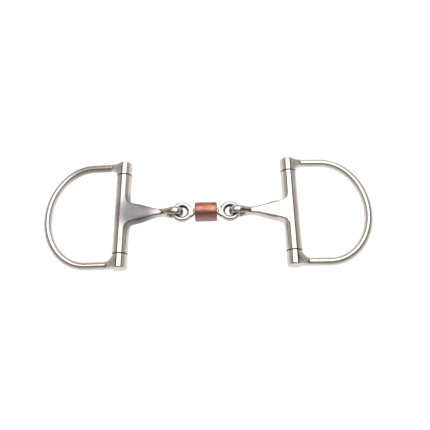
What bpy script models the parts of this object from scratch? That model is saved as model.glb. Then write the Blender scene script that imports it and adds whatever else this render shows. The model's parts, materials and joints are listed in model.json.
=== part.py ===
"""Dee-ring snaffle bit with a copper roller, as it lies on a flat surface.

Frame: the origin is on the surface, under the middle of the roller. X runs along the mouthpiece,
Y along the cheek posts, and Z up. Sizes are in metres.

A turning centre link carries the roller. At each end of the link a cannon hangs in the link's
ring by an eye, and its sleeve turns on a pin between the two knuckles of a dee cheek.
"""
import math

import bmesh
import bpy

COLLECTION_NAME = "snaffle_bit"
CUTTER_COLLECTION_NAME = "snaffle_bit_cutters"

# Clearances
FIT_GAP = 0.0003                # between two fixed or turning pieces that meet
SEAM_GAP = 0.0004               # between a sleeve's end and the knuckle that faces it
EYE_PLAY = 0.0007               # between a cannon's eye and the ring it hangs in

# Mouthpiece and sleeves
MOUTH_LENGTH = 0.127            # between the inner sides of the two sleeves, laid straight
SLEEVE_RADIUS = 0.0063
SLEEVE_LENGTH = 0.0694
SLEEVE_EDGE = 0.0003            # chamfer round each end of a sleeve
PIN_RADIUS = 0.0026

# Cannons
NECK_FROM_HINGE = 0.0114        # hinge to the cannon's thinnest place
NECK_HALF_WIDTH = 0.0033
NECK_HALF_HEIGHT = 0.0035
ROOT_HALF_WIDTH = 0.0088
ROOT_BELOW_SLEEVE = 0.0002      # how far the root's top stays below the sleeve's
ROOT_FILLET = 0.0040
EYE_HALF_WIDTH = 0.0033
EYE_WALL = 0.0032
EYE_FULLNESS = 1.6              # above 1, the eye keeps its height further toward the neck
EYE_SQUARENESS = 3.0
EYE_SLACK = 0.0010              # hinge to the centre of the slot's inner end
EYE_SLOT_BACK = 0.0014          # hinge to the centre of the slot's outer end

# Dee cheeks
KNUCKLE_LENGTH = 0.0117
KNUCKLE_EDGE = 0.0012           # rounding of a knuckle's free end
KNUCKLE_SEAM_EDGE = 0.0003
PIN_IN_KNUCKLE = 0.0080
DEE_ROD_RADIUS = 0.00315
DEE_REACH = 0.0633              # post axis to the rod's centre line at the far side
DEE_LEG = 0.0273                # post axis to where the rod starts to bend
LEG_BELOW_END = 0.0032          # free end of a knuckle to the centre line of the rod's leg
NECK_REACH = 0.0112             # post axis to the end of a knuckle's neck
NECK_STEP = 0.0002              # how far a neck's end stands proud of the rod
NECK_INSET = 0.0003             # how far a neck's root stays inside the ends of its knuckle
NECK_ROOT_HALF_HEIGHT = 0.0052
SPIGOT_RADIUS = 0.0020
SPIGOT_LENGTH = 0.0025

# Centre link and roller
ROLLER_RADIUS = 0.0080
ROLLER_LENGTH = 0.0180
ROLLER_CHAMFER = 0.0009
SPINDLE_RADIUS = 0.00275
RING_RADIUS = 0.0064            # centre line of the wire
RING_WIRE_RADIUS = 0.0023
RING_STANDOFF = 0.00205         # roller's end to the ring's outer edge
TENON_RADIUS = 0.0014
TENON_LENGTH = 0.0050

# Facets
ROUND_STEPS = 32
SMALL_ROUND_STEPS = 20
SECTION_POINTS = 20
DEE_BEND_POINTS = 40
DEE_LEG_POINTS = 4

# Places that follow from the sizes
POST_HALF = SLEEVE_LENGTH / 2 + SEAM_GAP + KNUCKLE_LENGTH
NECK_END_RADIUS = DEE_ROD_RADIUS + NECK_STEP
LEG_OFFSET = POST_HALF - LEG_BELOW_END
RING_CENTRE_X = ROLLER_LENGTH / 2 + RING_STANDOFF + RING_RADIUS + RING_WIRE_RADIUS
HINGE_X = RING_CENTRE_X + RING_RADIUS
POST_FROM_HINGE = MOUTH_LENGTH / 2 + SLEEVE_RADIUS - HINGE_X
LINK_HEIGHT = ROLLER_RADIUS
CANNON_SLOPE = math.asin((LINK_HEIGHT - SLEEVE_RADIUS) / POST_FROM_HINGE)
DEE_SLOPE = math.asin((SLEEVE_RADIUS - DEE_ROD_RADIUS) / DEE_REACH)
RING_SAG = RING_RADIUS - math.sqrt(RING_RADIUS ** 2 - EYE_HALF_WIDTH ** 2)
EYE_SLOT_RADIUS = RING_WIRE_RADIUS + RING_SAG + EYE_PLAY
EYE_RADIUS = EYE_SLOT_RADIUS + EYE_WALL
ROOT_HALF_HEIGHT = SLEEVE_RADIUS - ROOT_BELOW_SLEEVE

STEEL = ((0.62, 0.60, 0.57, 1.0), 0.14)
COPPER = ((0.72, 0.36, 0.25, 1.0), 0.34)
SIDES = {"right": 1, "left": -1}
ENDS = {"upper": 1, "lower": -1}


def clear_scene():
    for obj in list(bpy.data.objects):
        bpy.data.objects.remove(obj, do_unlink=True)


def new_collection(name):
    collection = bpy.data.collections.new(name)
    bpy.context.scene.collection.children.link(collection)
    return collection


def metal(name, finish):
    colour, roughness = finish
    material = bpy.data.materials.new(name)
    material.use_nodes = True
    shader = material.node_tree.nodes["Principled BSDF"]
    shader.inputs["Base Color"].default_value = colour
    shader.inputs["Metallic"].default_value = 1.0
    shader.inputs["Roughness"].default_value = roughness
    return material


def mix(low, high, share):
    return low + (high - low) * share


def smooth_step(share):
    return share * share * (3 - 2 * share)


class Shop:
    """Adds the pieces and their cutters to their own collections."""

    def __init__(self):
        self.parts = new_collection(COLLECTION_NAME)
        self.cutters = new_collection(CUTTER_COLLECTION_NAME)

    def add(self, name, data, finish=None, parent=None, location=(0, 0, 0), rotation=(0, 0, 0)):
        """A piece when it has a finish, otherwise a cutter or a body to be joined to a piece."""
        obj = bpy.data.objects.new(name, data)
        obj.location = location
        obj.rotation_euler = rotation
        obj.parent = parent
        if finish is None:
            self.cutters.objects.link(obj)
            obj.hide_render = True
            obj.display_type = "WIRE"
        else:
            self.parts.objects.link(obj)
            data.materials.append(metal(name + "_metal", finish))
        return obj

    def pivot(self, name, location, rotation=(0, 0, 0), parent=None):
        """An empty on a joint's axis, which carries the pieces that turn there."""
        empty = bpy.data.objects.new(name, None)
        empty.empty_display_size = 0.01
        empty.location = location
        empty.rotation_euler = rotation
        empty.parent = parent
        self.parts.objects.link(empty)
        return empty


def combine(obj, operand, operation):
    boolean = obj.modifiers.new(operation.lower() + "_" + operand.name, "BOOLEAN")
    boolean.operation = operation
    boolean.solver = "EXACT"
    boolean.object = operand


def profile_mesh(name, points, closed=False):
    """A turned profile: (radius, height) points, top to bottom on the outer side."""
    mesh = bpy.data.meshes.new(name)
    count = len(points)
    edges = [(i, i + 1) for i in range(count - 1)]
    if closed:
        edges.append((count - 1, 0))
    mesh.from_pydata([(radius, 0, height) for radius, height in points], edges, [])
    return mesh


def turn(obj, steps):
    screw = obj.modifiers.new("turned", "SCREW")
    screw.steps = steps
    screw.render_steps = steps
    screw.use_merge_vertices = True
    screw.merge_threshold = 0.00001
    screw.use_smooth_shade = True


def cylinder_mesh(name, radius, low, high, steps=SMALL_ROUND_STEPS):
    """A closed cylinder along Z from low to high."""
    mesh = bpy.data.meshes.new(name)
    shape = bmesh.new()
    bmesh.ops.create_cone(shape, cap_ends=True, segments=steps, radius1=radius, radius2=radius,
                          depth=high - low)
    bmesh.ops.translate(shape, verts=shape.verts, vec=(0, 0, (low + high) / 2))
    shape.to_mesh(mesh)
    shape.free()
    return mesh


def loft_mesh(name, sections):
    """A closed skin along X. A section is (x, y of its centre, half width, half height, power).

    Power 2 is an ellipse, and a higher power is a squarer outline.
    """
    mesh = bpy.data.meshes.new(name)
    shape = bmesh.new()
    rings = []
    for x, centre_y, half_width, half_height, power in sections:
        ring = []
        for i in range(SECTION_POINTS):
            angle = 2 * math.pi * i / SECTION_POINTS
            across, up = math.cos(angle), math.sin(angle)
            across = math.copysign(abs(across) ** (2 / power), across)
            up = math.copysign(abs(up) ** (2 / power), up)
            ring.append(shape.verts.new((x, centre_y + half_width * across, half_height * up)))
        rings.append(ring)
    for ring, following in zip(rings, rings[1:]):
        for i in range(SECTION_POINTS):
            j = (i + 1) % SECTION_POINTS
            shape.faces.new((ring[i], ring[j], following[j], following[i]))
    shape.faces.new(rings[0])
    shape.faces.new(rings[-1])
    bmesh.ops.recalc_face_normals(shape, faces=shape.faces)
    shape.to_mesh(mesh)
    shape.free()
    mesh.shade_smooth()
    mesh.set_sharp_from_angle(angle=math.radians(40))
    return mesh


def cannon_sections():
    """Sections of a cannon from the tip of its eye to the axis of its sleeve."""
    sections = []
    tip_steps = 6
    for step in range(tip_steps):
        angle = math.radians(82) * (1 - step / tip_steps)
        x = -EYE_SLACK - EYE_RADIUS * math.sin(angle)
        sections.append((x, 0, EYE_HALF_WIDTH * math.sqrt(math.cos(angle)),
                         EYE_RADIUS * math.cos(angle), EYE_SQUARENESS))
    eye_steps = 7
    for step in range(eye_steps):
        share = step / eye_steps
        blend = smooth_step(share ** EYE_FULLNESS)
        sections.append((mix(-EYE_SLACK, NECK_FROM_HINGE, share), 0,
                         mix(EYE_HALF_WIDTH, NECK_HALF_WIDTH, blend),
                         mix(EYE_RADIUS, NECK_HALF_HEIGHT, blend),
                         mix(EYE_SQUARENESS, 2.2, blend)))
    fillet_start = POST_FROM_HINGE - SLEEVE_RADIUS - ROOT_FILLET
    climb = (ROOT_HALF_HEIGHT - NECK_HALF_HEIGHT) / (POST_FROM_HINGE - NECK_FROM_HINGE)
    blade_steps = 9
    for step in range(blade_steps):
        share = step / blade_steps
        x = mix(NECK_FROM_HINGE, fillet_start, share)
        sections.append((x, 0, mix(NECK_HALF_WIDTH, ROOT_HALF_WIDTH, smooth_step(share)),
                         NECK_HALF_HEIGHT + climb * (x - NECK_FROM_HINGE),
                         mix(2.2, 3.2, smooth_step(share))))
    fillet_steps = 5
    for step in range(fillet_steps + 1):
        angle = math.pi / 2 * step / fillet_steps
        x = fillet_start + ROOT_FILLET * math.sin(angle)
        sections.append((x, 0, ROOT_HALF_WIDTH + ROOT_FILLET * (1 - math.cos(angle)),
                         NECK_HALF_HEIGHT + climb * (x - NECK_FROM_HINGE), 3.2))
    sections.append((POST_FROM_HINGE, 0, ROOT_HALF_WIDTH + ROOT_FILLET, ROOT_HALF_HEIGHT, 3.2))
    return sections


def eye_slot_mesh(name):
    """A round-ended cutter along Z, its middle stretched from the slot's inner to its outer end."""
    mesh = cylinder_mesh(name, EYE_SLOT_RADIUS, -2 * EYE_HALF_WIDTH, 2 * EYE_HALF_WIDTH)
    for vertex in mesh.vertices:
        vertex.co.x += EYE_SLOT_BACK if vertex.co.x > 0 else -EYE_SLACK
    return mesh


def make_cannon(shop, side, pivot):
    """Sleeve, blade and eye in one casting."""
    name = side + "_cannon"
    half = SLEEVE_LENGTH / 2
    profile = [(0, half), (SLEEVE_RADIUS - SLEEVE_EDGE, half), (SLEEVE_RADIUS, half - SLEEVE_EDGE),
               (SLEEVE_RADIUS, -half + SLEEVE_EDGE), (SLEEVE_RADIUS - SLEEVE_EDGE, -half), (0, -half)]
    along_y = (-math.pi / 2, 0, 0)
    post = (POST_FROM_HINGE, 0, 0)
    sleeve = shop.add(name, profile_mesh(name, profile), STEEL, pivot, post, along_y)
    turn(sleeve, ROUND_STEPS)
    blade = shop.add(name + "_blade", loft_mesh(name + "_blade", cannon_sections()), parent=pivot)
    bore = shop.add(name + "_bore",
                    cylinder_mesh(name + "_bore", PIN_RADIUS + FIT_GAP, -SLEEVE_LENGTH, SLEEVE_LENGTH),
                    parent=pivot, location=post, rotation=along_y)
    slot = shop.add(name + "_slot", eye_slot_mesh(name + "_slot"), parent=pivot, rotation=along_y)
    combine(sleeve, blade, "UNION")
    combine(sleeve, bore, "DIFFERENCE")
    combine(sleeve, slot, "DIFFERENCE")


def neck_sections():
    """Sections of a knuckle's neck, from inside the knuckle out to the rod."""
    root_outer = POST_HALF - NECK_INSET
    root_inner = POST_HALF - KNUCKLE_LENGTH + NECK_INSET
    end_outer = LEG_OFFSET + NECK_END_RADIUS
    end_inner = LEG_OFFSET - NECK_END_RADIUS
    sweep = end_inner - root_inner
    start = NECK_REACH - min(sweep, NECK_REACH - SLEEVE_RADIUS)
    sections = [(SPIGOT_RADIUS, (root_outer + root_inner) / 2, (root_outer - root_inner) / 2,
                 NECK_ROOT_HALF_HEIGHT, 2.4)]
    steps = 7
    for step in range(steps + 1):
        share = step / steps
        angle = math.pi / 2 * share
        x = NECK_REACH - (NECK_REACH - start) * math.cos(angle)
        outer = mix(root_outer, end_outer, smooth_step(share))
        inner = root_inner + sweep * math.sin(angle)
        sections.append((x, (outer + inner) / 2, (outer - inner) / 2,
                         mix(NECK_ROOT_HALF_HEIGHT, NECK_END_RADIUS, smooth_step(share)),
                         mix(2.4, 2.0, share)))
    return sections


def make_knuckle(shop, side, end, toward, pivot):
    """A turned knuckle with a flared neck, bored for the hinge pin and for the rod's spigot."""
    name = side + "_" + end + "_knuckle"
    profile = [(0, KNUCKLE_LENGTH)]
    edge_steps = 4
    for step in range(edge_steps + 1):
        angle = math.pi / 2 * (1 - step / edge_steps)
        profile.append((SLEEVE_RADIUS - KNUCKLE_EDGE * (1 - math.cos(angle)),
                        KNUCKLE_LENGTH - KNUCKLE_EDGE * (1 - math.sin(angle))))
    profile += [(SLEEVE_RADIUS, KNUCKLE_SEAM_EDGE), (SLEEVE_RADIUS - KNUCKLE_SEAM_EDGE, 0), (0, 0)]
    outward = (-toward * math.pi / 2, 0, 0)
    seam = (0, toward * (POST_HALF - KNUCKLE_LENGTH), 0)
    knuckle = shop.add(name, profile_mesh(name, profile), STEEL, pivot, seam, outward)
    turn(knuckle, ROUND_STEPS)
    sections = [(x, toward * y, wide, high, power) for x, y, wide, high, power in neck_sections()]
    neck = shop.add(name + "_neck", loft_mesh(name + "_neck", sections), parent=pivot)
    bore = shop.add(name + "_bore",
                    cylinder_mesh(name + "_bore", PIN_RADIUS + FIT_GAP, -KNUCKLE_LENGTH,
                                  PIN_IN_KNUCKLE + FIT_GAP),
                    parent=pivot, location=seam, rotation=outward)
    socket = shop.add(name + "_socket",
                      cylinder_mesh(name + "_socket", SPIGOT_RADIUS + FIT_GAP,
                                    -SPIGOT_LENGTH - FIT_GAP, SPIGOT_LENGTH),
                      parent=pivot, location=(NECK_REACH, toward * LEG_OFFSET, 0),
                      rotation=(0, math.pi / 2, 0))
    combine(knuckle, neck, "UNION")
    combine(knuckle, bore, "DIFFERENCE")
    combine(knuckle, socket, "DIFFERENCE")


def make_hinge_pin(shop, side, pivot):
    name = side + "_hinge_pin"
    half = SLEEVE_LENGTH / 2 + SEAM_GAP + PIN_IN_KNUCKLE
    profile = [(0, half), (PIN_RADIUS - FIT_GAP, half), (PIN_RADIUS, half - FIT_GAP),
               (PIN_RADIUS, -half + FIT_GAP), (PIN_RADIUS - FIT_GAP, -half), (0, -half)]
    pin = shop.add(name, profile_mesh(name, profile), STEEL, pivot, rotation=(-math.pi / 2, 0, 0))
    turn(pin, SMALL_ROUND_STEPS)


def dee_route():
    """Centre line of the rod as (x, y, share of the rod's radius): leg, bend and leg."""
    shoulder = NECK_REACH + FIT_GAP
    spigot = SPIGOT_RADIUS / DEE_ROD_RADIUS
    leg = [(shoulder - SPIGOT_LENGTH, LEG_OFFSET, spigot), (shoulder, LEG_OFFSET, spigot),
           (shoulder + 0.00002, LEG_OFFSET, 1.0)]
    for step in range(1, DEE_LEG_POINTS):
        leg.append((mix(shoulder, DEE_LEG, step / DEE_LEG_POINTS), LEG_OFFSET, 1.0))
    bend = []
    for step in range(DEE_BEND_POINTS + 1):
        angle = math.pi / 2 - math.pi * step / DEE_BEND_POINTS
        bend.append((DEE_LEG + (DEE_REACH - DEE_LEG) * math.cos(angle),
                     LEG_OFFSET * math.sin(angle), 1.0))
    return leg + bend + [(x, -y, share) for x, y, share in reversed(leg)]


def make_dee_ring(shop, side, pivot):
    name = side + "_dee_ring"
    curve = bpy.data.curves.new(name, "CURVE")
    curve.dimensions = "3D"
    curve.fill_mode = "FULL"
    curve.bevel_depth = DEE_ROD_RADIUS
    curve.bevel_resolution = 3
    curve.use_fill_caps = True
    route = dee_route()
    spline = curve.splines.new("POLY")
    spline.points.add(len(route) - 1)
    for point, (x, y, share) in zip(spline.points, route):
        point.co = (x, y, 0, 1)
        point.radius = share
    shop.add(name, curve, STEEL, pivot)


def link_sections(toward):
    """Sections of the web between the ring and the spindle, from the ring inwards."""
    web_start = RING_CENTRE_X - RING_RADIUS + 0.6 * RING_WIRE_RADIUS
    web_end = ROLLER_LENGTH / 2 + FIT_GAP
    ring_outside = RING_RADIUS + RING_WIRE_RADIUS
    widest = 0.95 * math.sqrt(ring_outside ** 2 - (RING_CENTRE_X - web_start) ** 2)
    sections = []
    steps = 5
    for step in range(steps + 1):
        share = step / steps
        sections.append((toward * mix(web_start, web_end, share), 0,
                         mix(widest, SPINDLE_RADIUS, 1 - (1 - share) ** 1.4),
                         mix(0.9 * RING_WIRE_RADIUS, SPINDLE_RADIUS, smooth_step(share)), 2.0))
    return sections


def add_ring(shop, name, toward, pivot):
    bpy.ops.mesh.primitive_torus_add(major_radius=RING_RADIUS, minor_radius=RING_WIRE_RADIUS,
                                     major_segments=ROUND_STEPS, minor_segments=12)
    made = bpy.context.object
    mesh = made.data
    bpy.data.objects.remove(made, do_unlink=True)
    return shop.add(name, mesh, parent=pivot, location=(toward * RING_CENTRE_X, 0, 0))


def make_centre_link(shop, pivot):
    """The spindle with its ring, and the second ring, which is pressed on the spindle's tenon."""
    joint = ROLLER_LENGTH / 2 - TENON_LENGTH
    spindle_sections = link_sections(-1) + [
        (joint - FIT_GAP, 0, SPINDLE_RADIUS, SPINDLE_RADIUS, 2.0),
        (joint - FIT_GAP, 0, TENON_RADIUS, TENON_RADIUS, 2.0),
        (joint - FIT_GAP + TENON_LENGTH, 0, TENON_RADIUS, TENON_RADIUS, 2.0)]
    spindle = shop.add("link_spindle", loft_mesh("link_spindle", spindle_sections), STEEL, pivot)
    combine(spindle, add_ring(shop, "link_spindle_ring", -1, pivot), "UNION")
    eye_sections = link_sections(1) + [(joint, 0, SPINDLE_RADIUS, SPINDLE_RADIUS, 2.0)]
    eye = shop.add("link_eye", loft_mesh("link_eye", eye_sections), STEEL, pivot)
    combine(eye, add_ring(shop, "link_eye_ring", 1, pivot), "UNION")
    socket = shop.add("link_eye_socket",
                      cylinder_mesh("link_eye_socket", TENON_RADIUS + FIT_GAP, -TENON_LENGTH,
                                    TENON_LENGTH + FIT_GAP),
                      parent=pivot, location=(joint, 0, 0), rotation=(0, math.pi / 2, 0))
    combine(eye, socket, "DIFFERENCE")


def make_roller(shop, pivot):
    half = ROLLER_LENGTH / 2
    bore = SPINDLE_RADIUS + FIT_GAP
    shoulder = ROLLER_RADIUS - ROLLER_CHAMFER
    profile = [(bore, half), (shoulder, half), (ROLLER_RADIUS, half - ROLLER_CHAMFER),
               (ROLLER_RADIUS, -half + ROLLER_CHAMFER), (shoulder, -half), (bore, -half)]
    roller = shop.add("copper_roller", profile_mesh("copper_roller", profile, closed=True), COPPER,
                      pivot, rotation=(0, math.pi / 2, 0))
    turn(roller, ROUND_STEPS)


def make_bit():
    shop = Shop()
    link_pivot = shop.pivot("link_axis", (0, 0, LINK_HEIGHT))
    make_centre_link(shop, link_pivot)
    make_roller(shop, link_pivot)
    for side, sign in SIDES.items():
        half_turn = 0 if sign > 0 else math.pi
        cannon_pivot = shop.pivot(side + "_cannon_hinge", (sign * HINGE_X, 0, LINK_HEIGHT),
                                  (0, CANNON_SLOPE, half_turn))
        make_cannon(shop, side, cannon_pivot)
        dee_pivot = shop.pivot(side + "_dee_hinge", (POST_FROM_HINGE, 0, 0),
                               (0, DEE_SLOPE - CANNON_SLOPE, 0), cannon_pivot)
        make_hinge_pin(shop, side, dee_pivot)
        for end, toward in ENDS.items():
            make_knuckle(shop, side, end, toward * sign, dee_pivot)
        make_dee_ring(shop, side, dee_pivot)


clear_scene()
make_bit()
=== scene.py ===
"""Dee-ring snaffle bit: polished steel and copper pieces modelled around its working frame."""

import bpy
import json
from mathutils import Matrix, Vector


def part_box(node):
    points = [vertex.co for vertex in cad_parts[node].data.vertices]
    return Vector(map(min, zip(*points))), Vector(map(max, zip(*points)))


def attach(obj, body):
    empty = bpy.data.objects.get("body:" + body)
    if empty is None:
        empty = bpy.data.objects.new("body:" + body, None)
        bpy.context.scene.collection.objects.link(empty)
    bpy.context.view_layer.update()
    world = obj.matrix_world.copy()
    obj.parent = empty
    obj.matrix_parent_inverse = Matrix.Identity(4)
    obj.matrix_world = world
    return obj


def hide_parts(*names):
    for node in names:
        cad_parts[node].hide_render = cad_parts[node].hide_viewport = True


bl_info = {
    "name": "Dee-ring snaffle bit",
    "version": (1, 0, 0),
    "blender": (4, 5, 0),
    "location": "3D View > Sidebar > Snaffle bit",
    "description": "Models the castings, rods, link and roller of a dee-ring snaffle bit",
    "category": "Add Mesh",
}

import json
import math

import bmesh
import bpy
from mathutils import Matrix, Vector

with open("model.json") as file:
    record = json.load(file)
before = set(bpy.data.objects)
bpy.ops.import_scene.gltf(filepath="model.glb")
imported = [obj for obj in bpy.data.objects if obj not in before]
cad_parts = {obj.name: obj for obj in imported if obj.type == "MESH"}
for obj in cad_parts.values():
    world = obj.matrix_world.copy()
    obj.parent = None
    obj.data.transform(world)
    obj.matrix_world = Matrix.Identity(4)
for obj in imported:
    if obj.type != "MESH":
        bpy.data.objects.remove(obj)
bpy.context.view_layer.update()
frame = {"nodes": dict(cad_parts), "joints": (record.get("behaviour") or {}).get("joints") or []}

# Places read from the frame
JOINTS = {joint["name"]: joint for joint in frame["joints"]}
SIDES = {"right": 1, "left": -1}


def joint_place(name):
    return Vector(JOINTS[name]["pos_m"])


HINGE = joint_place("right_cannon_hinge")
POST = joint_place("right_cheek_hinge")
LINK_HEIGHT = joint_place("roller_spin").z
POST_FROM_HINGE = (POST - HINGE).length
CANNON_SLOPE = math.asin((HINGE.z - POST.z) / POST_FROM_HINGE)
DEE_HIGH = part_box("right_dee_ring")[1]
KNUCKLE_LOW, KNUCKLE_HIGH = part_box("right_upper_knuckle")
ROLLER_LOW, ROLLER_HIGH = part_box("copper_roller")
SLEEVE_RADIUS = POST.z
POST_HALF = KNUCKLE_HIGH.y
KNUCKLE_LENGTH = KNUCKLE_HIGH.y - KNUCKLE_LOW.y
SEAM_GAP = KNUCKLE_LOW.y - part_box("right_cannon")[1].y
RING_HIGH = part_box("link_eye")[1]
WIRE_RADIUS = RING_HIGH.x - HINGE.x
RING_RADIUS = RING_HIGH.y - WIRE_RADIUS
RING_CENTRE = HINGE.x - RING_RADIUS

PIN_BORE_RADIUS = 0.0029        # in the sleeves and the knuckles alike


# ---------------------------------------------------------------- sizes and colours to change

def length(name, description, default):
    return bpy.props.FloatProperty(name=name, description=description, default=default, min=0.0,
                                   precision=5, unit="LENGTH")


def colour(name, description, default):
    return bpy.props.FloatVectorProperty(name=name, description=description, default=default,
                                         subtype="COLOR", size=3, min=0.0, max=1.0)


def share(name, description, default):
    return bpy.props.FloatProperty(name=name, description=description, default=default, min=0.0,
                                   max=1.0, subtype="FACTOR")


class SnaffleCannonSizes(bpy.types.PropertyGroup):
    """The sleeve, blade and eye of a cannon."""
    sleeve_length: length("Sleeve length", "Length of the sleeve between its seams", 0.0694)
    sleeve_edge: length("Sleeve edge", "Chamfer round each end of the sleeve", 0.0003)
    bore: length("Bore radius", "Radius of the hole for the hinge pin",
                 PIN_BORE_RADIUS)
    root_half_width: length("Blade root half width", "Half the blade's width at the sleeve", 0.0088)
    root_half_height: length("Blade root half height", "Half the blade's height at the post", 0.0061)
    fillet: length("Root fillet", "Radius between the blade's side and the sleeve", 0.0040)
    neck: length("Neck place", "Distance from the hinge to the thinnest place", 0.0114)
    neck_half_width: length("Neck half width", "Half the neck's width", 0.0033)
    neck_half_height: length("Neck half height", "Half the neck's height", 0.0035)
    eye_half_width: length("Eye half width", "Half the width of the eye's bar", 0.0033)
    eye_fullness: bpy.props.FloatProperty(name="Eye fullness", default=1.6, min=1.0,
                                          description="Above 1, the eye keeps its height further "
                                                      "toward the neck")
    eye_radius: length("Eye radius", "Outer radius of the eye's round end", 0.0071)
    slot_radius: length("Slot radius", "Inner radius of the eye", 0.0039)
    slack: length("Slack", "Distance from the hinge to the middle of the eye's round end", 0.0010)
    slot_back: length("Slot back", "Distance from the hinge to the middle of the slot's back", 0.0014)


class SnaffleCheekSizes(bpy.types.PropertyGroup):
    """The knuckles and the rod of a dee cheek."""
    knuckle_length: length("Knuckle length", "Length of a knuckle along the post", KNUCKLE_LENGTH)
    knuckle_edge: length("Knuckle edge", "Rounding of a knuckle's free end", 0.0012)
    seam_edge: length("Seam edge", "Chamfer at the seam between knuckle and sleeve", 0.0003)
    pin_depth: length("Pin depth", "Depth of the blind bore for the hinge pin", 0.0083)
    rod_radius: length("Rod radius", "Radius of the dee's rod", 0.00315)
    leg: length("Leg length", "Distance from the post to the start of the bend", 0.0273)
    neck_reach: length("Neck reach", "Distance from the post to the end of a knuckle's neck", 0.0112)
    neck_step: length("Neck step", "How far a neck's end stands proud of the rod", 0.0002)
    braze_gap: length("Braze line", "Width of the line between neck and rod", 0.00006)
    spigot_radius: length("Spigot radius", "Radius of the rod's end inside the neck", 0.0020)
    spigot_length: length("Spigot length", "Length of the rod's end inside the neck", 0.0024)


class SnaffleLinkSizes(bpy.types.PropertyGroup):
    """The centre link and its roller."""
    roller_bore: length("Roller bore", "Radius of the hole through the roller", 0.00305)
    roller_edge: length("Roller edge", "Chamfer round each end of the roller", 0.0009)
    ring_radius: length("Ring radius", "Radius of a ring's centre line", RING_RADIUS)
    wire_radius: length("Wire radius", "Radius of a ring's wire", WIRE_RADIUS)
    spindle_radius: length("Spindle radius", "Radius of the spindle inside the roller", 0.00275)
    tenon_radius: length("Tenon radius", "Radius of the spindle's tenon", 0.0014)
    tenon_length: length("Tenon length", "Length of the spindle's tenon", 0.0050)
    play: length("Play", "Gap between pieces that turn on each other", 0.0003)


class SnaffleFinishes(bpy.types.PropertyGroup):
    """Colours and polish of the metals."""
    steel: colour("Steel", "Colour of the polished steel", (0.61, 0.58, 0.54))
    steel_shade: colour("Worn steel", "Colour of the steel where handling has dulled it",
                        (0.50, 0.47, 0.435))
    steel_polish: share("Steel roughness", "Roughness of the best polished steel", 0.10)
    # The dark colour of this tone is painted shade. It stands in for the darker reflection on the left
    # blade's root, and the patch there is also made rougher.
    satin: colour("Satin steel", "Colour of steel that was left unpolished", (0.125, 0.12, 0.135))
    # This tone is painted shade. Its grey stands in for the white highlight missing from the left dee's
    # upper leg, and that leg is also made rougher.
    dull: colour("Dull steel", "Colour of the duller leg of the left dee", (0.31, 0.287, 0.255))
    # Used both as real grime, in the specks on the copper and the soiled patches near the hinges, and
    # as painted shade on the rings' inner walls and in the seams.
    grime_and_painted_shade: colour("Grime", "Colour in the hidden corners of the steel", (0.045, 0.038, 0.030))
    copper: colour("Copper", "Colour of rubbed copper", (0.56, 0.25, 0.19))
    copper_brown: colour("Brown copper", "Colour of handled copper", (0.34, 0.115, 0.060))
    copper_olive: colour("Olive copper", "Colour of the oldest copper", (0.25, 0.155, 0.115))
    # Painted reflection: this grey stands in for the greyish sheen reflected along the roller's near
    # side.
    painted_grey_sheen: colour("Grey copper", "Colour along the side that has dulled", (0.27, 0.20, 0.19))


class SnaffleStage(bpy.types.PropertyGroup):
    """The floor, the lights and the camera."""
    floor: colour("Floor", "Colour of the floor", (0.14, 0.14, 0.14))
    floor_glow: share("Floor glow", "Light that the floor adds", 0.97)
    box_power: bpy.props.FloatProperty(name="Soft box power", description="Power of the soft box",
                                       default=10.5, min=0.0, unit="POWER")
    elevation: bpy.props.FloatProperty(name="Elevation", description="Camera's height as an angle",
                                       default=math.radians(67.61), unit="ROTATION")
    azimuth: bpy.props.FloatProperty(name="Azimuth", description="Camera's turn round the bit",
                                     default=math.radians(5.30), unit="ROTATION")
    roll: bpy.props.FloatProperty(name="Roll", description="Camera's turn about its own axis",
                                  default=math.radians(-6.28), unit="ROTATION")
    distance: length("Distance", "From the camera to the bit", 0.38975)
    lens: bpy.props.FloatProperty(name="Lens", description="Focal length in millimetres",
                                  default=39.50, min=1.0)


# ---------------------------------------------------------------- modelling by hand

def add_primitive(name, operator, **settings):
    """Adds a primitive with nothing else selected and opens it for editing, its turn in its mesh."""
    if bpy.context.mode != "OBJECT":
        bpy.ops.object.mode_set(mode="OBJECT")
    bpy.ops.object.select_all(action="DESELECT")
    operator(**settings)
    piece = bpy.context.object
    piece.name = name
    piece.data.name = name
    bpy.ops.object.transform_apply(location=True, rotation=True, scale=True)
    bpy.ops.object.mode_set(mode="EDIT")
    return piece


def place_of(element):
    if isinstance(element, bmesh.types.BMVert):
        return element.co
    if isinstance(element, bmesh.types.BMEdge):
        return (element.verts[0].co + element.verts[1].co) / 2
    return element.calc_center_median()


def pick(piece, kind, test):
    """Selects only the vertices, edges or faces that pass a test of (element, its place)."""
    bpy.ops.mesh.select_mode(type=kind)
    bpy.ops.mesh.select_all(action="DESELECT")
    shape = bmesh.from_edit_mesh(piece.data)
    elements = {"VERT": shape.verts, "EDGE": shape.edges, "FACE": shape.faces}[kind]
    chosen = [element for element in elements if test(element, place_of(element))]
    if not chosen:
        raise RuntimeError(f"nothing to pick on {piece.name}")
    for element in chosen:
        element.select_set(True)
    shape.select_flush_mode()
    bmesh.update_edit_mesh(piece.data)


def cut_rows(piece, axis, places):
    """Cuts an edge loop across the whole piece at each place along an axis."""
    for place in places:
        bpy.ops.mesh.select_all(action="SELECT")
        bpy.ops.mesh.bisect(plane_co=axis * place, plane_no=axis)


def crease(piece, test, value=1.0):
    pick(piece, "EDGE", test)
    bpy.ops.transform.edge_crease(value=value)


def cage_radius(radius, sides):
    """Radius of a cage whose subdivided surface has the radius asked for."""
    return 3 * radius / (2 + math.cos(2 * math.pi / sides))


def oval_point(angle, half_y, half_z, power):
    across = math.copysign(abs(math.cos(angle)) ** (2 / power), math.cos(angle))
    up = math.copysign(abs(math.sin(angle)) ** (2 / power), math.sin(angle))
    return half_y * across, half_z * up


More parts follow.
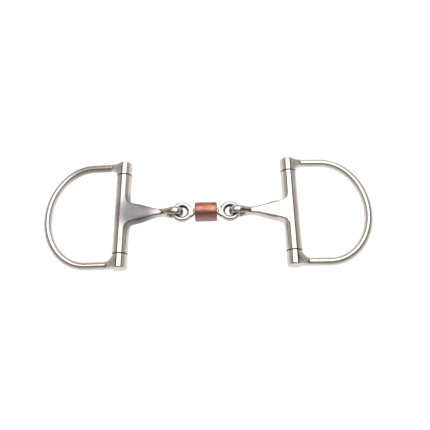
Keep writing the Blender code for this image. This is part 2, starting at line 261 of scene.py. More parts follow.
def next_end(piece, x, half_y, half_z, power, centre_y=0.0):
    """Extrudes the picked end to x and gives it a squared oval outline, by one resize for each
    set of mirrored vertices."""
    bpy.ops.mesh.extrude_region_move()
    centre = (x, centre_y, 0)
    shape = bmesh.from_edit_mesh(piece.data)
    picked = [vertex.co for vertex in shape.verts if vertex.select]
    low_y, high_y = min(co.y for co in picked), max(co.y for co in picked)
    high_z = max(co.z for co in picked)
    bpy.ops.transform.translate(value=(0, centre_y - (low_y + high_y) / 2, 0))
    bpy.ops.transform.resize(value=(0, 2 * half_y / (high_y - low_y), half_z / high_z),
                             center_override=centre)
    shape = bmesh.from_edit_mesh(piece.data)
    shape.faces.ensure_lookup_table()
    end_faces = [face.index for face in shape.faces if face.select]
    outline = {}
    for edge in shape.edges:
        if edge.select and sum(face.select for face in edge.link_faces) == 1:
            for vertex in edge.verts:
                key = (round(abs(vertex.co.y - centre_y), 6), round(abs(vertex.co.z), 6))
                outline.setdefault(key, set()).add(vertex.index)
    for (off_y, off_z), members in outline.items():
        target_y, target_z = oval_point(math.atan2(off_z / half_z, off_y / half_y),
                                        half_y, half_z, power)
        pick(piece, "VERT", lambda vertex, place: vertex.index in members)
        bpy.ops.transform.resize(value=(1, target_y / off_y if off_y > 1e-6 else 1,
                                        target_z / off_z if off_z > 1e-6 else 1),
                                 center_override=centre)
    pick(piece, "FACE", lambda face, place: face.index in end_faces)


def subdivide_and_smooth(piece, levels=3, angle=38):
    """Rounds a finished cage, and shades it smooth except across sharp edges."""
    bpy.ops.mesh.select_all(action="SELECT")
    bpy.ops.mesh.normals_make_consistent(inside=False)
    bpy.ops.object.mode_set(mode="OBJECT")
    rounding = piece.modifiers.new("rounding", "SUBSURF")
    rounding.levels = levels
    rounding.render_levels = levels
    bpy.ops.object.modifier_apply(modifier=rounding.name)
    bpy.ops.object.shade_smooth_by_angle(angle=math.radians(angle))


def stand(piece, place=(0, 0, 0), tilt=0.0, turn=0.0):
    """Moves a piece from its own frame to its place on the bit, and keeps that in its mesh."""
    piece.location = place
    piece.rotation_euler = (0, tilt, turn)
    bpy.ops.object.select_all(action="DESELECT")
    piece.select_set(True)
    bpy.context.view_layer.objects.active = piece
    bpy.ops.object.transform_apply(location=True, rotation=True, scale=True)


def turned_copy(piece, name, axis, centre=(0, 0, 0)):
    """A copy with its own mesh, turned half round an axis."""
    bpy.ops.object.select_all(action="DESELECT")
    piece.select_set(True)
    bpy.context.view_layer.objects.active = piece
    bpy.ops.object.duplicate(linked=False)
    copy = bpy.context.object
    copy.name = name
    copy.data.name = name
    bpy.ops.transform.rotate(value=math.pi, orient_axis=axis, center_override=centre)
    bpy.ops.object.transform_apply(location=True, rotation=True, scale=True)
    return copy


def fit(piece, body, slot, finish, *nodes):
    """Gives a piece its finish and puts it in the frame in place of its plain solids."""
    piece.data.materials.clear()
    piece.data.materials.append(finish)
    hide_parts(*nodes)
    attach(piece, body)


# ---------------------------------------------------------------- metal finishes

class Wire:
    """A socket of a finish, with arithmetic that adds Math nodes."""

    def __init__(self, finish, socket):
        self.finish = finish
        self.socket = socket

    def math(self, operation, first, second):
        return self.finish.node("ShaderNodeMath", {"operation": operation}, {0: first, 1: second})

    def __add__(self, other):
        return self.math("ADD", self, other)

    def __sub__(self, other):
        return self.math("SUBTRACT", self, other)

    def __rsub__(self, other):
        return self.math("SUBTRACT", other, self)

    def __mul__(self, other):
        return self.math("MULTIPLY", self, other)

    __radd__ = __add__
    __rmul__ = __mul__


class Finish:
    """A material's nodes, or the world's."""

    def __init__(self, owner):
        owner.use_nodes = True
        self.owner = owner
        self.tree = owner.node_tree

    def node(self, kind, settings=None, sockets=None, output=0):
        """Adds a node from its type, its settings and the values or wires of its sockets."""
        node = self.tree.nodes.new(kind)
        for name, value in (settings or {}).items():
            if name == "stops":
                ramp = node.color_ramp
                while len(ramp.elements) < len(value):
                    ramp.elements.new(0.5)
                for element, (place, shade) in zip(ramp.elements, value):
                    element.position = place
                    element.color = (*shade, 1.0)
            else:
                setattr(node, name, value)
        for name, value in (sockets or {}).items():
            if isinstance(value, Wire):
                self.tree.links.new(value.socket, node.inputs[name])
            else:
                node.inputs[name].default_value = value
        return Wire(self, node.outputs[output])

    def place(self):
        return self.node("ShaderNodeTexCoord", output="Object")

    def noise(self, place, scale, detail=3.0, roughness=0.5, stretch=(1, 1, 1)):
        stretched = self.node("ShaderNodeMapping", sockets={"Vector": place, "Scale": stretch})
        return self.node("ShaderNodeTexNoise", sockets={
            "Vector": stretched, "Scale": scale, "Detail": detail, "Roughness": roughness})

    def ramp(self, value, low, high):
        """0 below low, 1 above high, and smooth between."""
        return self.node("ShaderNodeMapRange", {"interpolation_type": "SMOOTHSTEP"},
                         {"Value": value, "From Min": low, "From Max": high})

    def blend(self, factor, first, second):
        return self.node("ShaderNodeMix", {"data_type": "RGBA"}, {
            0: factor, 6: first if isinstance(first, Wire) else (*first, 1.0),
            7: second if isinstance(second, Wire) else (*second, 1.0)}, output=2)

    def magnitude(self, value, axis=None):
        """Size of a value, or of one coordinate of a place, without its sign."""
        if axis:
            value = self.node("ShaderNodeSeparateXYZ", sockets={"Vector": value}, output=axis)
        return self.node("ShaderNodeMath", {"operation": "ABSOLUTE"}, {0: value})

    def near(self, place, points, reach):
        """1 at any of the points, and 0 from reach outwards."""
        total = None
        for point in points:
            away = self.node("ShaderNodeVectorMath", {"operation": "DISTANCE"},
                             {0: place, 1: tuple(point)}, output="Value")
            closeness = 1 - self.ramp(away, reach * 0.35, reach)
            total = closeness if total is None else total + closeness
        return total

    def shade(self, base, roughness, height, bump):
        """Feeds the shader of a metal."""
        shader = self.tree.nodes["Principled BSDF"]
        shader.inputs["Metallic"].default_value = 1.0
        normal = self.node("ShaderNodeBump", sockets={
            "Strength": bump, "Distance": 0.0001, "Height": height})
        for name, wire in (("Base Color", base), ("Roughness", roughness), ("Normal", normal)):
            self.tree.links.new(wire.socket, shader.inputs[name])


def steel_finish(name, grain, dull_points=(), dull_reach=0.01, satin_points=(), rings=False,
                 seams=True, satin_tone="satin", satin_reach=0.020):
    """Polished steel: fine polishing lines along its length, smudges, and painted shade in hidden
    corners.

    grain stretches the polishing lines: a small value is along them. The steel is soiled within
    dull_reach of dull_points, and takes the tone named by satin_tone within satin_reach of
    satin_points, where it is also rougher, and that tone's darker colour is painted shade. With rings
    the inner walls of the link's rings are painted dark as shade, or else with seams the gaps
    between sleeve and knuckles are painted dark as shade."""
    tones = bpy.context.scene.snaffle_finishes
    finish = Finish(bpy.data.materials.new(name))
    place = finish.place()
    smudge = finish.noise(place, 90, 3.0, 0.55)
    cloud = finish.noise(place, 28, 2.0, 0.5)
    lines = finish.noise(place, 1400, 3.0, 0.6, grain)
    pits = finish.noise(place, 2600, 1.0, 0.5)
    handled = finish.ramp(smudge * 0.6 + cloud * 0.4, 0.46, 0.68)
    base = finish.blend(handled * 0.45 + lines * 0.12, tuple(tones.steel), tuple(tones.steel_shade))
    roughness = handled * 0.07 + lines * 0.05 + tones.steel_polish
    if satin_points:
        # Painted shade: within satin_reach of satin_points the colour is darkened toward the chosen
        # tone as a stand-in for a darker reflection, and the roughness is raised.
        satin = finish.near(place, satin_points, satin_reach)
        base = finish.blend(satin * 0.85, base, tuple(getattr(tones, satin_tone)))
        roughness = roughness + satin * 0.24
    if dull_points:
        dull = finish.near(place, dull_points, dull_reach)
        soiled = dull * finish.ramp(smudge * 0.5 + pits * 0.5, 0.30, 0.62)
        base = finish.blend(soiled * 0.35, base, tuple(tones.grime_and_painted_shade))
        roughness = roughness + soiled * 0.16
    x, y = (finish.magnitude(place, axis) for axis in ("X", "Y"))
    dark = None
    if rings:
        # Painted shade: the inner walls of the link's rings are painted nearly black as a stand-in for
        # the shade and dark reflections in their holes.
        away = finish.node("ShaderNodeMath", {"operation": "SQRT"}, {
            0: (x - RING_CENTRE) * (x - RING_CENTRE) + y * y})
        dark = 1 - finish.ramp(away, RING_RADIUS - 0.0016, RING_RADIUS - 0.0010)
    elif seams:
        # Painted shade: a band across each seam between sleeve and knuckle is painted nearly black as a
        # stand-in for the shade in the gap.
        seam = finish.magnitude(y - (POST_HALF - KNUCKLE_LENGTH - SEAM_GAP / 2))
        dark = 1 - finish.ramp(seam, SEAM_GAP * 0.9, SEAM_GAP * 1.7)
    if dark is not None:
        # The painted shade is mixed in nearly black here, and the roughness is raised there.
        base = finish.blend(dark * 0.93, base, tuple(tones.grime_and_painted_shade))
        roughness = roughness + dark * 0.2
    finish.shade(base, roughness, lines * 0.6 + pits * 0.4 + smudge * 1.5, 0.10)
    return finish.owner


def copper_finish():
    """Handled copper: rubbed pink, brown and olive patches in bands round the roller, lathe lines
    and small dents."""
    tones = bpy.context.scene.snaffle_finishes
    finish = Finish(bpy.data.materials.new("handled_copper"))
    place = finish.place()
    patch = finish.noise(place, 210, 4.0, 0.6, (0.55, 1.0, 1.0))
    streak = finish.noise(place, 420, 3.0, 0.6, (0.35, 1.0, 1.0))
    lathe = finish.noise(place, 2200, 2.0, 0.5, (1.0, 0.04, 0.04))
    grit = finish.noise(place, 1500, 2.0, 0.6)
    brown = finish.ramp(patch * 0.7 + streak * 0.3, 0.40, 0.62)
    olive = finish.ramp(finish.noise(place, 150, 3.0, 0.6, (0.5, 1.0, 1.0)), 0.50, 0.68)
    end = finish.ramp(finish.magnitude(place, "X"), ROLLER_HIGH.x - 0.0017, ROLLER_HIGH.x - 0.0006)
    base = finish.blend(brown * 0.85, tuple(tones.copper), tuple(tones.copper_brown))
    base = finish.blend(olive * 0.55, base, tuple(tones.copper_olive))
    # Painted reflection: the roller's near side, toward -Y, is greyed as a stand-in for a reflected
    # sheen.
    side = finish.node("ShaderNodeSeparateXYZ", sockets={"Vector": place}, output="Y")
    dulled = 1 - finish.ramp(side + patch * 0.003, -0.0046, -0.0014)
    base = finish.blend(dulled * 0.8, base, tuple(tones.painted_grey_sheen))
    base = finish.blend(end * 0.55, base, tuple(tones.copper_brown))
    base = finish.blend(grit * 0.18, base, tuple(tones.grime_and_painted_shade))
    roughness = brown * 0.14 + lathe * 0.08 + olive * 0.06 + 0.20
    finish.shade(base, roughness, lathe * 0.5 + grit * 0.5 + patch * 2.5, 0.35)
    return finish.owner


# ---------------------------------------------------------------- pieces in their own frames

def round_blank(name, low, high, radius, sides=16):
    """A round bar along Y, as a cage."""
    return add_primitive(name, bpy.ops.mesh.primitive_cylinder_add, vertices=sides,
                         radius=cage_radius(radius, sides), depth=high - low,
                         location=(0, (high + low) / 2, 0), rotation=(math.pi / 2, 0, 0))


def on_plane(value, axis=1):
    """A test for what lies at one place along an axis, which is Y unless it is given."""
    return lambda element, place: all(
        abs(vertex.co[axis] - value) < 1e-6 for vertex in element.verts)


def edge_of_end(piece, end, width, steps):
    """Bevels the rim of an end of a bar along Y."""
    pick(piece, "EDGE", on_plane(end))
    bpy.ops.mesh.bevel(offset=width, segments=steps, affect="EDGES")


def facing_end(direction, end):
    return lambda face, place: face.normal.y * direction > 0.99 and abs(place.y - end) < 1e-6


def bore_end(piece, end, direction, radius, rim):
    """Insets an end to the bore's radius and keeps that inner face picked."""
    pick(piece, "FACE", facing_end(direction, end))
    bpy.ops.mesh.inset(thickness=(rim - cage_radius(radius, 16)) * math.cos(math.pi / 16))


def blade_width(sizes, s):
    start, stop = sizes.neck, POST_FROM_HINGE - SLEEVE_RADIUS - sizes.fillet
    t = min(max((s - start) / (stop - start), 0.0), 1.0)
    return sizes.neck_half_width + (sizes.root_half_width - sizes.neck_half_width) * t * t * (3 - 2 * t)


def blade_height(sizes, s):
    t = (max(s - sizes.neck, 0.0) / (POST_FROM_HINGE - sizes.neck)) ** 0.7
    return sizes.neck_half_height + (sizes.root_half_height - sizes.neck_half_height) * t


def eye_section(sizes, s):
    """Half width and half height between the eye and the neck."""
    t = ((s + sizes.slack) / (sizes.neck + sizes.slack)) ** sizes.eye_fullness
    t = t * t * (3 - 2 * t)
    return (sizes.eye_half_width + (sizes.neck_half_width - sizes.eye_half_width) * t,
            sizes.eye_radius + (sizes.neck_half_height - sizes.eye_radius) * t)


def model_cannon(sizes):
    """A cannon with its hinge at the origin and its sleeve along Y at +X."""
    half = sizes.sleeve_length / 2
    rim = cage_radius(SLEEVE_RADIUS, 16)
    piece = round_blank("right_cannon_casting", -half, half, SLEEVE_RADIUS)
    for end in (half, -half):
        edge_of_end(piece, end, sizes.sleeve_edge, 1)
        bore_end(piece, end, math.copysign(1, end), sizes.bore, rim - sizes.sleeve_edge)
        bpy.ops.mesh.delete(type="FACE")
    pick(piece, "EDGE", lambda edge, place: edge.is_boundary)
    bpy.ops.mesh.bridge_edge_loops()
    for end in (half, -half):
        crease(piece, on_plane(end))
        crease(piece, on_plane(end - math.copysign(sizes.sleeve_edge, end)))
    root = sizes.root_half_width
    spread = sizes.fillet / 0.57
    end_row = 0.004
    rows = [root / 2, root, root + spread, half - end_row]
    cut_rows(piece, Vector((0, 1, 0)), [0.0] + rows + [-row for row in rows])
    bpy.ops.mesh.select_all(action="SELECT")
    bpy.ops.transform.translate(value=(POST_FROM_HINGE, 0, 0))

    inner = cage_radius(sizes.bore, 16) * 1.2

    def faces_eye(face, place):
        outside = math.hypot(place.x - POST_FROM_HINGE, place.z) > inner
        return outside and face.normal.x < -0.3 and abs(place.y) < root

    pick(piece, "FACE", faces_eye)
    first = POST_FROM_HINGE - SLEEVE_RADIUS - spread
    behind_slot = 0.0017
    back = sizes.slot_back + sizes.slot_radius + behind_slot
    blade_steps = 4
    for step in range(blade_steps + 1):
        s = first + (sizes.neck - first) * step / blade_steps
        squareness = 2.3 + 0.5 * (1 - step / blade_steps)
        next_end(piece, s, blade_width(sizes, s), blade_height(sizes, s), squareness)
    next_end(piece, back, *eye_section(sizes, back), 2.3)
    open_eye(piece, sizes, back)
    subdivide_and_smooth(piece)
    return piece


def bar_end(x, up, inner=0.0):
    """A test for the end at x of the eye's upper (up is 1) or lower (-1) bar."""
    return lambda face, place: (
        face.normal.x < -0.7 and abs(place.x - x) < 1e-4 and place.z * up > inner)


def open_eye(piece, sizes, back):
    """Splits the end at back into two bars and joins them round the eye's tip."""
    half_width, half_height = eye_section(sizes, back)
    split = half_height * 0.5
    for up in (1, -1):
        for at, s in ((back, sizes.slot_back), (sizes.slot_back, -sizes.slack)):
            pick(piece, "FACE", bar_end(at, up, split * 0.9))
            wide, outer = eye_section(sizes, s)
            bpy.ops.mesh.extrude_region_move()
            shape = bmesh.from_edit_mesh(piece.data)
            picked = [vertex.co for vertex in shape.verts if vertex.select]
            low_z = min(abs(co.z) for co in picked)
            high_z = max(abs(co.z) for co in picked)
            widest = max(co.y for co in picked)
            bpy.ops.transform.translate(value=(0, 0, up * (sizes.slot_radius - low_z)))
            bpy.ops.transform.resize(
                value=(0, wide / widest, (outer - sizes.slot_radius) / (high_z - low_z)),
                center_override=(s, 0, up * sizes.slot_radius))
    tip = -sizes.slack
    pick(piece, "FACE", bar_end(tip, 1))
    bpy.ops.mesh.spin(steps=8, angle=math.pi, center=(tip, 0, 0), axis=(0, 1, 0))
    bpy.ops.mesh.delete(type="FACE")
    pick(piece, "FACE", bar_end(tip, -1))
    bpy.ops.mesh.delete(type="FACE")
    bpy.ops.mesh.select_all(action="SELECT")
    bpy.ops.mesh.remove_doubles(threshold=0.00002)
    pick(piece, "VERT", lambda vertex, place: (
        abs(place.x - back) < 1e-4 and abs(place.z) < half_height * 0.6))
    slot_rounding = 0.0014
    bpy.ops.transform.translate(value=(-slot_rounding, 0, 0))


def model_knuckle(sizes):
    """The right upper knuckle, with the post along Y through the origin and its neck to +X."""
    seam, free = POST_HALF - sizes.knuckle_length, POST_HALF
    rim = cage_radius(SLEEVE_RADIUS, 16)
    piece = round_blank("right_upper_knuckle_end", seam, free, SLEEVE_RADIUS)
    edge_of_end(piece, free, sizes.knuckle_edge, 2)
    edge_of_end(piece, seam, sizes.seam_edge, 1)
    pick(piece, "FACE", facing_end(1, free))
    end_lip = 0.0008
    bpy.ops.mesh.inset(thickness=end_lip)
    bore_end(piece, seam, -1, PIN_BORE_RADIUS, rim - sizes.seam_edge)
    bpy.ops.mesh.extrude_region_move(TRANSFORM_OT_translate={"value": (0, sizes.pin_depth, 0)})
    for place in (seam, seam + sizes.seam_edge):
        crease(piece, on_plane(place))
    seam_row = 0.0008
    inner_row, outer_row = seam + seam_row, free - sizes.knuckle_edge
    columns = 4
    rows = [inner_row + (outer_row - inner_row) * i / columns for i in range(columns)]
    cut_rows(piece, Vector((0, 1, 0)), rows)

    def faces_dee(face, place):
        outside = math.hypot(place.x, place.z) > SLEEVE_RADIUS * 0.8
        return outside and face.normal.x > 0.3 and inner_row < place.y < outer_row

    pick(piece, "FACE", faces_dee)
    rod = sizes.rod_radius
    leg_offset = DEE_HIGH.y - rod
    end_radius = rod + sizes.neck_step
    margin, rim_width, root_height = 0.0003, 0.0004, 0.0052
    root_outer, root_inner = free - margin, seam + margin
    sweep = leg_offset - end_radius - root_inner
    for step in (1, 2, 3):
        t = step / 3
        angle = math.pi / 2 * t
        eased = t * t * (3 - 2 * t)
        x = sizes.neck_reach - (sizes.neck_reach - SLEEVE_RADIUS) * math.cos(angle)
        outer = root_outer + (leg_offset + end_radius - root_outer) * eased
        inner = root_inner + sweep * math.sin(angle)
        tall = root_height + (end_radius - root_height) * eased
        if step == 3:
            next_end(piece, x - rim_width, (outer - inner) / 2, tall, 2.1, (outer + inner) / 2)
        next_end(piece, x, (outer - inner) / 2, tall, 2.8 - 0.75 * t, (outer + inner) / 2)
    at_end = on_plane(sizes.neck_reach, axis=0)
    side_play, end_play = 0.0003, 0.0002
    pick(piece, "FACE", at_end)
    bpy.ops.mesh.inset(thickness=end_radius - sizes.spigot_radius - side_play)
    bpy.ops.mesh.extrude_region_move(
        TRANSFORM_OT_translate={"value": (-sizes.spigot_length - end_play, 0, 0)})
    crease(piece, at_end, 0.8)
    subdivide_and_smooth(piece)
    return piece


def model_dee_rod(sizes):
    """The rod of a dee, with the post along Y through the origin and the bend to +X."""
    rod = sizes.rod_radius
    offset = DEE_HIGH.y - rod
    tilt = dee_slope(sizes)
    reach = (DEE_HIGH.x - rod - POST.x) / math.cos(tilt)
    start = sizes.neck_reach + sizes.braze_gap
    handle = 4 / 3 * (math.sqrt(2) - 1)
    bend = reach - sizes.leg
    if bpy.context.mode != "OBJECT":
        bpy.ops.object.mode_set(mode="OBJECT")
    bpy.ops.object.select_all(action="DESELECT")
    bpy.ops.curve.primitive_bezier_curve_add()
    piece = bpy.context.object
    piece.name = "right_dee_rod"
    curve = piece.data
    curve.name = piece.name
    curve.dimensions = "3D"
    curve.resolution_u = 40
    curve.bevel_depth = rod
    curve.bevel_resolution = 8
    curve.use_fill_caps = True
    points = curve.splines[0].bezier_points
    points.add(3)
    third = (sizes.leg - start) / 3
    knots = [
        ((start, offset), (start - third, offset), (start + third, offset)),
        ((sizes.leg, offset), (sizes.leg - third, offset), (sizes.leg + bend * handle, offset)),
        ((reach, 0), (reach, offset * handle), (reach, -offset * handle)),
        ((sizes.leg, -offset), (sizes.leg + bend * handle, -offset), (sizes.leg - third, -offset)),
        ((start, -offset), (start + third, -offset), (start - third, -offset)),
    ]
    for point, (knot, before, after) in zip(points, knots):
        point.handle_left_type = "FREE"
        point.handle_right_type = "FREE"
        point.co = (*knot, 0)
        point.handle_left = (*before, 0)
        point.handle_right = (*after, 0)
    bpy.ops.object.convert(target="MESH")
    piece = bpy.context.object
    bpy.ops.object.mode_set(mode="EDIT")
    bpy.ops.mesh.select_all(action="SELECT")
    bpy.ops.mesh.remove_doubles(threshold=0.00001)
    at_end = lambda face, place: abs(place.x - start) < 1e-6 and face.normal.x < -0.9
    for toward in (1, -1):
        pick(piece, "FACE", lambda face, place: at_end(face, place) and place.y * toward > 0)
        bpy.ops.mesh.inset(thickness=rod - sizes.spigot_radius)
        bpy.ops.mesh.extrude_region_move(
            TRANSFORM_OT_translate={"value": (-sizes.spigot_length, 0, 0)})
    bpy.ops.mesh.select_all(action="SELECT")
    bpy.ops.mesh.normals_make_consistent(inside=False)
    bpy.ops.object.mode_set(mode="OBJECT")
    bpy.ops.object.shade_smooth_by_angle(angle=math.radians(38))
    return piece


def dee_slope(sizes):
    """The dee droops from the post until its far side rests on the floor."""
    return math.atan2(POST.z - sizes.rod_radius, DEE_HIGH.x - sizes.rod_radius - POST.x)


def model_link_ring(sizes, name):
    """A ring of the centre link round the origin, with its web and neck toward -X."""
    around, through = 16, 8
    piece = add_primitive(name, bpy.ops.mesh.primitive_torus_add, major_segments=around,
                          minor_segments=through,
                          major_radius=cage_radius(sizes.ring_radius, around),
                          minor_radius=cage_radius(sizes.wire_radius, through))

    def faces_roller(face, place):
        away = math.hypot(place.x, place.y)
        return (away > cage_radius(sizes.ring_radius, around) and face.normal.x < -0.3
                and abs(place.y) < 0.72 * away and abs(place.z) < sizes.wire_radius * 0.8
                and place.x < 0 and abs(math.atan2(place.z, away - sizes.ring_radius)) < 0.8)

    pick(piece, "FACE", faces_roller)
    outside = sizes.ring_radius + sizes.wire_radius
    neck = sizes.spindle_radius
    web = ((0.0004, 0.0040, 0.0021, 2.2), (0.0013, 0.0031, 0.0025, 2.1))
    for away, half_width, half_height, squareness in web:
        next_end(piece, -outside - away, half_width, half_height, squareness)
    roller_end = ROLLER_HIGH.x + sizes.play
    next_end(piece, roller_end - ring_centre(sizes), neck, neck, 2.0)
    return piece


def ring_centre(sizes):
    return HINGE.x - sizes.ring_radius


def step_end(piece, flat, step, reach):
    """Keeps a flat end at one X sharp, and draws its middle out, or in for a socket, by reach."""
    crease(piece, on_plane(flat, axis=0))
    pick(piece, "FACE", lambda face, place: abs(place.x - flat) < 1e-6 and face.normal.x < -0.9)
    bpy.ops.mesh.inset(thickness=step)
    bpy.ops.mesh.extrude_region_move(TRANSFORM_OT_translate={"value": (reach, 0, 0)})


def model_spindle(sizes):
    """The ring with the spindle and its tenon, which turns into place on the left."""
    piece = model_link_ring(sizes, "ring_and_spindle")
    centre = ring_centre(sizes)
    joint = -(ROLLER_HIGH.x - sizes.tenon_length)
    neck = sizes.spindle_radius
    middle_row = 0.002
    next_end(piece, middle_row - centre, neck, neck, 2.0)
    next_end(piece, joint + sizes.play - centre, neck, neck, 2.0)
    flat = joint + sizes.play - centre
    step_end(piece, flat, neck - sizes.tenon_radius, -sizes.tenon_length)
    subdivide_and_smooth(piece)
    stand(piece, (centre, 0, LINK_HEIGHT))
    bpy.ops.transform.rotate(value=math.pi, orient_axis="Z", center_override=(0, 0, 0))
    bpy.ops.object.transform_apply(location=True, rotation=True, scale=True)
    return piece


def model_socket_ring(sizes):
    """The ring whose neck is bored for the spindle's tenon."""
    piece = model_link_ring(sizes, "ring_and_socket")
    centre = ring_centre(sizes)
    joint = ROLLER_HIGH.x - sizes.tenon_length
    neck = sizes.spindle_radius
    flat = joint - centre
    next_end(piece, flat, neck, neck, 2.0)
    step_end(piece, flat, neck - sizes.tenon_radius - sizes.play, sizes.tenon_length + sizes.play)
    subdivide_and_smooth(piece)
    stand(piece, (centre, 0, LINK_HEIGHT))
    return piece


def model_roller(sizes):
    """The roller, bored and chamfered."""
    sides = 48
    radius = (ROLLER_HIGH.z - ROLLER_LOW.z) / 2
    half = ROLLER_HIGH.x
    piece = add_primitive("roller_sleeve", bpy.ops.mesh.primitive_cylinder_add, vertices=sides,
                          radius=radius, depth=2 * half, rotation=(0, math.pi / 2, 0))
    for end in (half, -half):
        pick(piece, "EDGE", on_plane(end, axis=0))
        bpy.ops.mesh.bevel(offset=sizes.roller_edge, segments=3, affect="EDGES")
        pick(piece, "FACE", lambda face, place: abs(place.x - end) < 1e-6)
        bpy.ops.mesh.inset(thickness=radius - sizes.roller_edge - sizes.roller_bore)
        bpy.ops.mesh.delete(type="FACE")
    pick(piece, "EDGE", lambda edge, place: edge.is_boundary)
    bpy.ops.mesh.bridge_edge_loops()
    cut_rows(piece, Vector((1, 0, 0)), [half * quarter / 4 for quarter in range(-3, 4)])
    crease(piece, lambda edge, place: (
        all(abs(abs(v.co.x) - half) < 1e-6 for v in edge.verts)
        and math.hypot(place.y, place.z) < sizes.roller_bore * 1.05))
    subdivide_and_smooth(piece, levels=2)
    stand(piece, (0, 0, LINK_HEIGHT))
    return piece


# ---------------------------------------------------------------- operators

class SNAFFLE_OT_copper_roller(bpy.types.Operator):
    """Models the copper roller on the centre link"""
    bl_idname = "snaffle.copper_roller"
    bl_label = "Copper roller"

    def execute(self, context):
        piece = model_roller(context.scene.snaffle_link)
        fit(piece, "roller", "copper", copper_finish(), "copper_roller")
        return {"FINISHED"}


class SNAFFLE_OT_centre_link(bpy.types.Operator):
    """Models the two halves of the centre link"""
    bl_idname = "snaffle.centre_link"
    bl_label = "Centre link"

    def execute(self, context):
        sizes = context.scene.snaffle_link
        centre = ring_centre(sizes)
        wear = [(side * centre, 0, LINK_HEIGHT) for side in SIDES.values()]
        # With rings, this finish paints shade on the inner walls of the rings.
        finish = steel_finish("link_steel", (1.0, 0.2, 1.0), wear, 0.0095, rings=True)
        fit(model_spindle(sizes), "centre_link", "polished_steel", finish, "link_spindle")
        fit(model_socket_ring(sizes), "centre_link", "polished_steel", finish, "link_eye")
        return {"FINISHED"}


class SNAFFLE_OT_cannons(bpy.types.Operator):
    """Models the two cannons: sleeve, blade and eye in one casting"""
    bl_idname = "snaffle.cannons"
    bl_label = "Cannons"

    def execute(self, context):
        right = model_cannon(context.scene.snaffle_cannon)
        stand(right, HINGE, tilt=CANNON_SLOPE)
        left = turned_copy(right, "left_cannon_casting", "Z")
        wear = [(side * HINGE.x, 0, HINGE.z) for side in SIDES.values()]
        # Painted shade: the left blade's root is darkened as a stand-in for its darker reflection, and
        # it is made rougher.
        left_blade_top = (-0.058, 0.0, 0.010)
        finish = steel_finish("cannon_steel", (1.0, 0.12, 1.0), wear, 0.0100,
                              satin_points=[left_blade_top], satin_reach=0.023)
        for side, piece in (("right", right), ("left", left)):
            fit(piece, side + "_cannon", "polished_steel", finish, side + "_cannon")
        return {"FINISHED"}


class SNAFFLE_OT_knuckles(bpy.types.Operator):
    """Models the four knuckles on the ends of the posts"""
    bl_idname = "snaffle.knuckles"
    bl_label = "Knuckles"

    def execute(self, context):
        sizes = context.scene.snaffle_cheek
        tilt = dee_slope(sizes)
        upper = model_knuckle(sizes)
        lower = turned_copy(upper, "right_lower_knuckle_end", "X")
        for piece in (upper, lower):
            stand(piece, POST, tilt=tilt)
        left_lower = turned_copy(upper, "left_lower_knuckle_end", "Z")
        left_upper = turned_copy(lower, "left_upper_knuckle_end", "Z")
        finish = steel_finish("knuckle_steel", (1.0, 0.2, 1.0))
        for piece, side, end in ((upper, "right", "upper"), (lower, "right", "lower"),
                                 (left_upper, "left", "upper"), (left_lower, "left", "lower")):
            fit(piece, side + "_cheek", "polished_steel", finish, f"{side}_{end}_knuckle")
        return {"FINISHED"}


class SNAFFLE_OT_dee_rods(bpy.types.Operator):
    """Models the bent rods of the two dees"""
    bl_idname = "snaffle.dee_rods"
    bl_label = "Dee rods"

    def execute(self, context):
        sizes = context.scene.snaffle_cheek
        right = model_dee_rod(sizes)
        stand(right, POST, tilt=dee_slope(sizes))
        left = turned_copy(right, "left_dee_rod", "Z")
        # Painted shade: the left dee's upper leg is greyed where its highlight is missing, and it is
        # made rougher.
        upper_leg = (-POST.x - 0.024, POST_HALF - 0.003, 0.006)
        finish = steel_finish("rod_steel", (1.0, 1.0, 1.0), satin_points=[upper_leg],
                              seams=False, satin_tone="dull", satin_reach=0.034)
        for side, piece in (("right", right), ("left", left)):
            fit(piece, side + "_cheek", "polished_steel", finish, side + "_dee_ring")
        return {"FINISHED"}


class SNAFFLE_OT_hinge_pins(bpy.types.Operator):
    """Gives the hinge pins inside the sleeves their finish"""
    bl_idname = "snaffle.hinge_pins"
    bl_label = "Hinge pins"

    def execute(self, context):
        finish = steel_finish("pin_steel", (1.0, 0.1, 1.0), [POST, (-POST.x, 0, POST.z)], 0.08)
        for side in SIDES:
            pin = frame["nodes"][side + "_hinge_pin"]
            for slot in pin.material_slots:
                slot.material = finish
        return {"FINISHED"}


class SNAFFLE_OT_stage(bpy.types.Operator):
    """Sets the floor, the soft light and the camera"""
    bl_idname = "snaffle.stage"
    bl_label = "Stage"

    def execute(self, context):
        stage = context.scene.snaffle_stage
        lay_floor(stage)
        hang_soft_box(stage)
        light_room(context.scene)
        set_camera(context.scene, stage)
        context.scene.view_settings.view_transform = "Standard"
        return {"FINISHED"}


# ---------------------------------------------------------------- stage

def lay_floor(stage):
    floor = add_primitive("floor", bpy.ops.mesh.primitive_plane_add, size=8.0, location=(0, 0, -0.0002))
    bpy.ops.object.mode_set(mode="OBJECT")
    finish = Finish(bpy.data.materials.new("pale_floor"))
    grain = finish.noise(finish.place(), 60)
    shader = finish.tree.nodes["Principled BSDF"]
    base = finish.blend(grain * 0.1, tuple(stage.floor), tuple(tone * 0.96 for tone in stage.floor))
    finish.tree.links.new(base.socket, shader.inputs["Base Color"])
    shader.inputs["Roughness"].default_value = 0.9
    shader.inputs["Specular IOR Level"].default_value = 0.0
    shader.inputs["Emission Color"].default_value = (1.0, 1.0, 1.0, 1.0)
    shader.inputs["Emission Strength"].default_value = stage.floor_glow
    floor.data.materials.append(finish.owner)


def hang_soft_box(stage):
    light = bpy.data.lights.new("soft_box", "AREA")
    light.shape = "RECTANGLE"
    light.size = 1.12
    light.size_y = 1.55
    light.energy = stage.box_power
    box = bpy.data.objects.new("soft_box", light)
    bpy.context.scene.collection.objects.link(box)
    box.location = (0.05, 0.66, 1.0)
    box.rotation_euler = (0, 0, math.radians(-15))


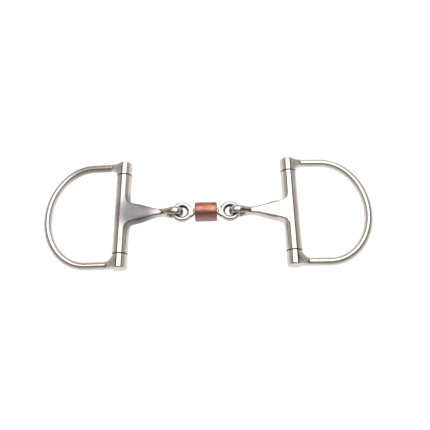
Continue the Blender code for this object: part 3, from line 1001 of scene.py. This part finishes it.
def light_room(scene):
    """A room that is dark beside the soft box and grey toward the horizon."""
    world = bpy.data.worlds.new("room")
    scene.world = world
    room = Finish(world)
    direction = room.node("ShaderNodeTexCoord", output="Generated")
    up = room.node("ShaderNodeSeparateXYZ", sockets={"Vector": direction}, output="Z")
    shade = room.node("ShaderNodeValToRGB", {"stops": [
        (0.0, (0.66, 0.63, 0.60)), (0.35, (0.62, 0.58, 0.53)), (0.64, (0.54, 0.50, 0.44)),
        (0.71, (0.075, 0.065, 0.055)), (0.79, (0.08, 0.07, 0.06)), (0.87, (0.42, 0.41, 0.43))]},
        {"Fac": up})
    background = room.tree.nodes["Background"]
    room.tree.links.new(shade.socket, background.inputs["Color"])
    background.inputs["Strength"].default_value = 1.0


def set_camera(scene, stage):
    data = bpy.data.cameras.new("camera")
    camera = bpy.data.objects.new("camera", data)
    scene.collection.objects.link(camera)
    data.lens = stage.lens
    data.sensor_width = 36.0
    data.shift_x = 0.0205
    data.shift_y = -0.0056
    data.clip_start = 0.01
    data.clip_end = 50.0
    a, e = stage.azimuth, stage.elevation
    back = Vector((math.sin(a) * math.cos(e), -math.cos(a) * math.cos(e), math.sin(e)))
    aim = Vector((0, 0, 0.006))
    camera.location = aim + back * stage.distance
    turn = (-back).to_track_quat("-Z", "Y").to_matrix()
    camera.rotation_euler = (turn @ Matrix.Rotation(stage.roll, 3, "Z")).to_euler()
    scene.camera = camera


# ---------------------------------------------------------------- add-on

class SNAFFLE_PT_bench(bpy.types.Panel):
    """Lists the pieces of the bit and their sizes"""
    bl_idname = "SNAFFLE_PT_bench"
    bl_label = "Snaffle bit"
    bl_space_type = "VIEW_3D"
    bl_region_type = "UI"
    bl_category = "Snaffle bit"

    def draw(self, context):
        for operator in OPERATORS:
            self.layout.operator(operator.bl_idname)
        for name in GROUPS:
            box = self.layout.box()
            group = getattr(context.scene, name)
            for key in group.bl_rna.properties.keys():
                if key not in ("rna_type", "name"):
                    box.prop(group, key)


GROUPS = {
    "snaffle_cannon": SnaffleCannonSizes,
    "snaffle_cheek": SnaffleCheekSizes,
    "snaffle_link": SnaffleLinkSizes,
    "snaffle_finishes": SnaffleFinishes,
    "snaffle_stage": SnaffleStage,
}
OPERATORS = (SNAFFLE_OT_stage, SNAFFLE_OT_centre_link, SNAFFLE_OT_copper_roller, SNAFFLE_OT_cannons,
             SNAFFLE_OT_knuckles, SNAFFLE_OT_dee_rods, SNAFFLE_OT_hinge_pins)


def register():
    for name, group in GROUPS.items():
        bpy.utils.register_class(group)
        setattr(bpy.types.Scene, name, bpy.props.PointerProperty(type=group))
    for operator in OPERATORS:
        bpy.utils.register_class(operator)
    bpy.utils.register_class(SNAFFLE_PT_bench)


def unregister():
    bpy.utils.unregister_class(SNAFFLE_PT_bench)
    for operator in reversed(OPERATORS):
        bpy.utils.unregister_class(operator)
    for name, group in GROUPS.items():
        delattr(bpy.types.Scene, name)
        bpy.utils.unregister_class(group)


def main():
    register()
    bpy.ops.snaffle.stage()
    bpy.ops.snaffle.centre_link()
    bpy.ops.snaffle.copper_roller()
    bpy.ops.snaffle.cannons()
    bpy.ops.snaffle.knuckles()
    bpy.ops.snaffle.dee_rods()
    bpy.ops.snaffle.hinge_pins()


if __name__ == "__main__":
    main()
